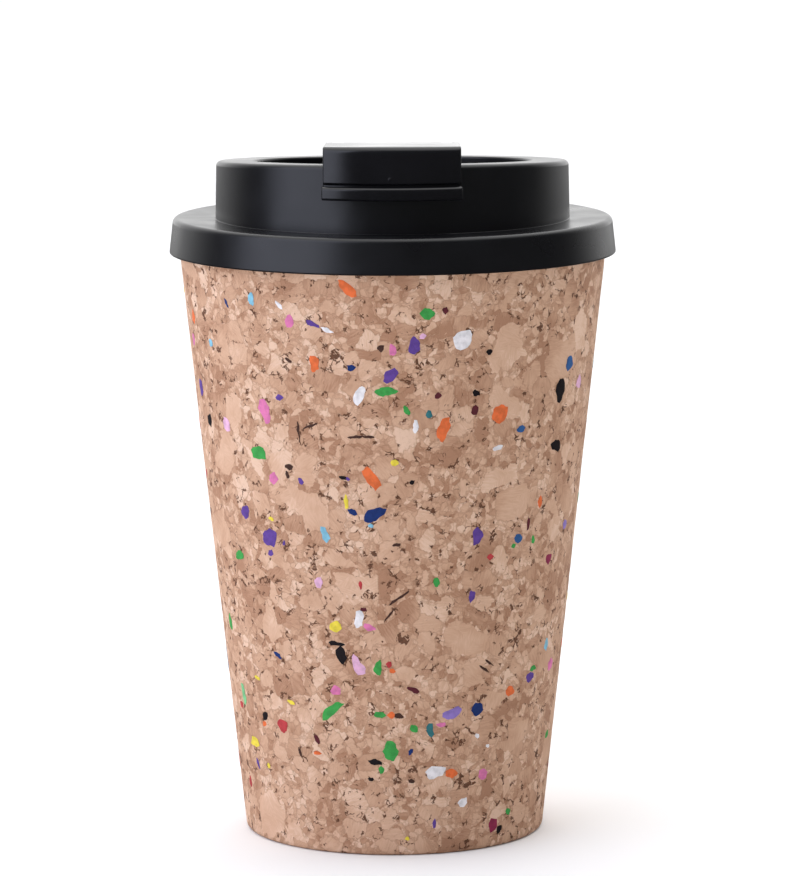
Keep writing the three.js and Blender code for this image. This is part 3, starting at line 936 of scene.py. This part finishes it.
def drinking_slot():
    """The slot's cutter, flared at the top so that it leaves a rounded mouth."""
    flare = 0.35
    levels = [(RIM_HEIGHT - LID_WALL - 1, flare)]
    for k in range(5):
        angle = math.pi / 2 * k / 4
        levels.append((RIM_HEIGHT - flare * (1 - math.sin(angle)), flare * math.cos(angle)))
    levels.append((RIM_HEIGHT + 0.6, 0))
    return slab("slot", front_bar(31.6 - flare, 35.5 + flare, 15 + 0.6, 1.2), levels, along_z)


def vent_hole():
    """The cutter for the air hole in the recess, wider at its mouth."""
    bore, mouth, behind_centre = 0.9, 1.3, 20
    vent = turned("vent", [
        (0, RECESS_FLOOR - 3),
        (bore, RECESS_FLOOR - 3),
        (bore, RECESS_FLOOR - 0.2),
        (mouth, RECESS_FLOOR + 0.2),
        (mouth, RECESS_FLOOR + 1),
        (0, RECESS_FLOOR + 1),
    ], segments=32)
    vent.data.transform(Matrix.Translation((0, behind_centre * MM, 0)))
    return vent


def lid():
    piece = lid_shell()
    for side in (-1, 1):
        combine(piece, hinge_ear(side), "UNION")
    combine(piece, hinge_hole(PIN_RADIUS + GAP, 14), "DIFFERENCE")
    combine(piece, drinking_slot(), "DIFFERENCE")
    combine(piece, vent_hole(), "DIFFERENCE")
    return weighted(piece)


def lid_seal():
    valley, lower_lip, upper_lip = 37.55, 38.0, 38.25
    middle = (SEAL_BOTTOM + SEAL_TOP) / 2
    return turned("lid_seal_ring", rounded([
        (SEAL_INNER_RADIUS, SEAL_BOTTOM, 0),
        (valley, SEAL_BOTTOM, 0.15),
        (lower_lip, SEAL_BOTTOM + 0.7, 0.18),
        (valley, middle - 0.3, 0.15),
        (valley, middle + 0.3, 0.15),
        (upper_lip, SEAL_TOP - 0.7, 0.18),
        (valley + 0.2, SEAL_TOP, 0.15),
        (SEAL_INNER_RADIUS, SEAL_TOP, 0),
    ]), closed=True)


def hinge_pin():
    piece = turned("hinge_pin_turned", rounded([
        (0, -PIN_HALF_LENGTH, 0),
        (PIN_RADIUS, -PIN_HALF_LENGTH, 0.3),
        (PIN_RADIUS, PIN_HALF_LENGTH, 0.3),
        (0, PIN_HALF_LENGTH, 0),
    ]), segments=48)
    piece.data.transform(Matrix.Rotation(math.pi / 2, 4, "Y"))
    piece.data.transform(Matrix.Translation((0, HINGE_Y * MM, HINGE_Z * MM)))
    return piece


# ---------------------------------------------------------------- the tab


def wrap_front(y, z, x):
    """Wraps the tab's front round the collar. Its top stays on the tab's sloping plane."""
    if y > TAB_WRAP_STARTS_AT:
        return (x, y, z)
    wrapped = -math.sqrt(y * y - x * x)
    share = min(1.0, max(0.0, (z - 143) / 5))
    return (x, wrapped, z - RIM_SLOPE * (wrapped - y) * share)


def tab_blank():
    front = -TAB_FRONT_RADIUS
    rear = arc_points((HINGE_Y, HINGE_Z), TAB_REAR_RADIUS, -85, 90 - RIM_SLOPE_DEGREES, 30)
    corners = [
        (front + 0.45, TAB_LIP_BOTTOM + 0.4, 0.35),
        (-30, TAB_LIP_BOTTOM + 0.4, 0),
        *[(y, z, 0) for y, z in rear],
        (TAB_FIRST_CURVED_ROW, tab_top(TAB_FIRST_CURVED_ROW), 0),
        (front, tab_top(front), 1.25),
        (front, TAB_LIP_TOP + 0.7, 0.32),
        (front + 0.45, TAB_LIP_TOP + 0.35, 0.3),
    ]
    levels = edge_levels(-TAB_HALF_WIDTH, TAB_HALF_WIDTH, 0.3, between=28)
    return slab("flip_tab_moulded", rounded(corners, closed=True), levels, wrap_front)


def tab_lip():
    bottom, top = TAB_LIP_BOTTOM, TAB_LIP_TOP
    corners = [
        (-TAB_LIP_RADIUS, bottom, 0.55),
        (-TAB_PANEL_INNER_RADIUS - 0.3, bottom, 0.4),
        (-TAB_PANEL_INNER_RADIUS - 0.3, top, 0.4),
        (-TAB_LIP_RADIUS, top, 0.8),
    ]
    levels = edge_levels(-TAB_LIP_HALF_WIDTH, TAB_LIP_HALF_WIDTH, 0.35, between=28)
    return slab("lip", rounded(corners, closed=True), levels, wrap_front)


def tab_hollow():
    inside = TAB_REAR_RADIUS - TAB_PLATE
    half_width = TAB_HALF_WIDTH - TAB_SIDE_WALL
    far = -TAB_PANEL_INNER_RADIUS
    corners = [
        (far, BELOW_TAB, 0),
        (HINGE_Y + inside, BELOW_TAB, 0),
        *[(y, z, 0) for y, z in arc_points((HINGE_Y, HINGE_Z), inside, 0, 90 - RIM_SLOPE_DEGREES, 20)],
        (TAB_FIRST_CURVED_ROW, tab_top(TAB_FIRST_CURVED_ROW) - TAB_PLATE, 0),
        (far, tab_top(far) - TAB_PLATE, 0.8),
    ]
    levels = edge_levels(-half_width, half_width, 0.4, between=24)
    return slab("hollow", rounded(corners, closed=True), levels, wrap_front)


def collar_clearance():
    top = RIM_HEIGHT + 0.4
    inner = RECESS_RADIUS - 2
    return turned("clearance", [
        (inner, BELOW_TAB),
        (TAB_PANEL_INNER_RADIUS, BELOW_TAB),
        (TAB_PANEL_INNER_RADIUS, top),
        (inner, top),
    ], closed=True, place=lean)


def ear_slot(side):
    inner, outer = side * (EAR_INNER_X - 0.4), side * (TAB_HALF_WIDTH - TAB_SIDE_WALL)
    front, back, bottom, top = HINGE_Y - 3.2, HINGE_Y + 12, 130, 155
    outline = [(front, bottom), (back, bottom), (back, top), (front, top)]
    return slab("ear_slot", outline, [(x, 0) for x in sorted((inner, outer))], across_x)


def gate_mark():
    """The small round mark that moulding leaves in the middle of the tab's front."""
    profile = rounded([(0, 0, 0), (0.55, 0, 0), (0.4, 0.5, 0.2), (0, 0.5, 0)], steps=3)
    return turned("gate", profile, segments=24)


def flip_tab():
    piece = tab_blank()
    combine(piece, tab_hollow(), "DIFFERENCE")
    combine(piece, collar_clearance(), "DIFFERENCE")
    combine(piece, tab_lip(), "UNION")
    for side in (-1, 1):
        combine(piece, ear_slot(side), "DIFFERENCE")
    combine(piece, hinge_hole(PIN_RADIUS + GAP, TAB_HALF_WIDTH + 1), "DIFFERENCE")
    mark = gate_mark()
    mark.data.transform(Matrix.Rotation(math.pi / 2, 4, "X"))
    mark_place = Vector((GATE_MARK_X, -TAB_FRONT_RADIUS + 0.4, GATE_MARK_Z)) * MM
    mark.data.transform(Matrix.Translation(mark_place))
    combine(piece, mark, "UNION")
    return weighted(piece)


def tab_stopper():
    under_plate = tab_top(0) - TAB_PLATE - GAP
    pad = slab("tab_stopper_pad", front_bar(31.2, 36.4, 16.5, 0.8),
               edge_levels(RIM_HEIGHT + GAP, under_plate, 0.3), along_z)
    plug = slab("plug", front_bar(31.9, 35.2, 14.4, 1.0),
                edge_levels(RIM_HEIGHT - 1.85, RIM_HEIGHT + 1, 0.45), along_z)
    return combine(pad, plug, "UNION")


# ---------------------------------------------------------------- assembly

cork = cork_material()
place_piece(cork_sleeve(), "cup", "cork_sleeve", cork)
place_piece(cork_base(), "cup", "cork_base", cork)
build_flecks()
liner_plastic = moulded_plastic("liner_plastic", linear(20, 20, 22), 0.4)
place_piece(inner_cup(), "cup", "inner_cup", liner_plastic)

lid_plastic = moulded_plastic("lid_plastic", linear(9, 9, 13), 0.3)
tab_plastic = moulded_plastic("tab_plastic", linear(9, 9, 13), 0.21, grain=0.004)
place_piece(lid(), "lid", "lid_body", lid_plastic)
place_piece(lid_seal(), "lid", "lid_seal", silicone("seal_silicone", linear(140, 142, 146)))
place_piece(hinge_pin(), "lid", "hinge_pin", turned_steel())
place_piece(flip_tab(), "tab", "flip_tab", tab_plastic)
stopper_silicone = silicone("stopper_silicone", linear(52, 52, 56))
place_piece(tab_stopper(), "tab", "tab_stopper", stopper_silicone)

# ---------------------------------------------------------------- studio


def pale_floor():
    bpy.ops.mesh.primitive_circle_add(vertices=96, radius=14, fill_type="NGON", location=(0, 0, 0))
    floor = bpy.context.object
    floor.name = "studio_floor"
    n = Nodes("studio_floor")
    n.surface.inputs["Base Color"].default_value = (0.9, 0.9, 0.9, 1)
    n.surface.inputs["Roughness"].default_value = 0.9
    n.surface.inputs["Specular IOR Level"].default_value = 0.1
    floor.data.materials.append(n.material)
    floor.visible_glossy = False


def softbox(name, place, target, size, power):
    light = bpy.data.lights.new(name, "AREA")
    light.shape, light.size, light.size_y, light.energy = "RECTANGLE", *size, power
    lamp = bpy.data.objects.new(name, light)
    lamp.location = place
    lamp.rotation_euler = (Vector(target) - Vector(place)).to_track_quat("-Z", "Y").to_euler()
    bpy.context.scene.collection.objects.link(lamp)
    return lamp


def studio_surroundings():
    """A white studio: bright above and behind, dark towards the camera and below the horizon."""
    world = bpy.data.worlds.new("studio")
    bpy.context.scene.world = world
    world.use_nodes = True
    nodes, links = world.node_tree.nodes, world.node_tree.links
    place = nodes.new("ShaderNodeTexCoord")

    def glow(towards, start, end, low, high):
        direction = nodes.new("ShaderNodeVectorMath")
        direction.operation = "DOT_PRODUCT"
        direction.inputs[1].default_value = Vector(towards).normalized()
        links.new(place.outputs["Generated"], direction.inputs[0])
        fade = nodes.new("ShaderNodeMapRange")
        fade.interpolation_type = "SMOOTHSTEP"
        for name, value in zip(("From Min", "From Max", "To Min", "To Max"), (start, end, low, high)):
            fade.inputs[name].default_value = value
        links.new(direction.outputs["Value"], fade.inputs["Value"])
        return fade.outputs[0]

    def combined(operation, first, second):
        made = nodes.new("ShaderNodeMath")
        made.operation = operation
        links.new(first, made.inputs[0])
        links.new(second, made.inputs[1])
        return made.outputs[0]

    sky = combined("ADD", glow((0, 1, 0), 0.2, 0.85, 0.04, 1.2), glow((0, 0.1, 1), 0.55, 0.95, 0.0, 1.9))
    below_ceiling = glow((0, 0, 1), 0.3, 0.6, 1.0, 0.0)
    back_wall = combined("MULTIPLY", glow((0, 1, 0), 0.85, 0.97, 0.0, 0.4), below_ceiling)
    above_horizon = glow((0, 0, 1), -0.09, -0.03, 0.12, 1.0)
    background = nodes["Background"]
    lit = combined("MULTIPLY", combined("ADD", sky, back_wall), above_horizon)
    total = combined("ADD", lit, glow((0, 1, 0), -1, 1, 0.08, 0.05))
    links.new(total, background.inputs["Color"])
    background.inputs["Strength"].default_value = 1.0


pale_floor()
studio_surroundings()
middle = (0, 0, 0.08)
key = softbox("key", (-1.15, -0.75, 0.55), middle, (1.5, 1.8), 16)
key.data.color = (0.9, 0.94, 1.12)
for side, power in ((-1, 5.5), (1, 3.2)):
    rim_light = softbox("rim_light", (1.2 * side, 0.5, 0.35), middle, (0.8, 1.2), power)
    rim_light.data.color = (0.92, 0.98, 1.14)
    rim_light.visible_glossy = False
bpy.context.scene.view_settings.view_transform = "Standard"
